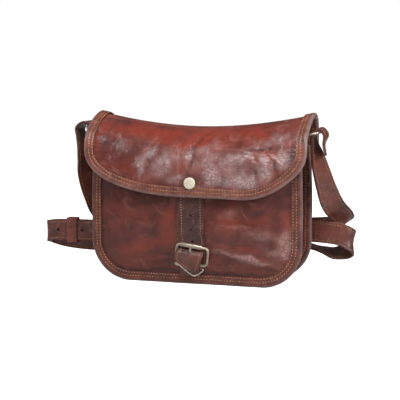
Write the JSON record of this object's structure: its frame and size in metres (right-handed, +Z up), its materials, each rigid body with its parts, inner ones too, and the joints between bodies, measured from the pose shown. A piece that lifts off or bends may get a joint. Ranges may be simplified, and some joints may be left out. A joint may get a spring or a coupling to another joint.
{
  "type": "shoulder bag",
  "caption": "Small flap-over leather shoulder bag with a buckled closure strap, side rings and a buckled shoulder strap bundled behind it.",
  "frame": {"origin": "middle of the whole object's box, at the level of the seams' lower edges, on which the bag stands", "axes": "+Z up, +X to the bag's right as seen from its front, +Y from the front to the back"},
  "size_m": [0.377, 0.1234, 0.1883],
  "materials": {
    "flap_leather": "waxed leather, red brown with darker mottling, half gloss",
    "body_leather": "waxed leather, dark red brown, half gloss",
    "edge_leather": "folded and sewn leather strip, worn at the fold",
    "strap_leather": "thick dark brown leather, sewn along both edges",
    "keeper_leather": "red brown leather",
    "buckle_metal": "antique nickel wire",
    "stud_metal": "pale plated cap"
  },
  "bodies": {
    "root": {"front_panel": "body_leather", "back_panel": "body_leather", "gusset": "body_leather", "front_binding": "edge_leather", "back_binding": "edge_leather", "flap": "flap_leather", "flap_binding": "edge_leather", "closure_backing": "strap_leather", "closure_strap": "strap_leather", "buckle_frame": "buckle_metal", "buckle_roller": "buckle_metal", "buckle_prong": "buckle_metal", "buckle_chape": "strap_leather", "tip_loop": "buckle_metal", "stud_cap": "stud_metal", "stud_disc": "buckle_metal", "ring_right": "buckle_metal", "ring_tab_right": "keeper_leather", "ring_left": "buckle_metal", "ring_tab_left": "keeper_leather", "strap_long": "strap_leather", "strap_short": "strap_leather", "strap_keeper": "keeper_leather", "strap_buckle": "buckle_metal"}
  },
  "joints": []
}
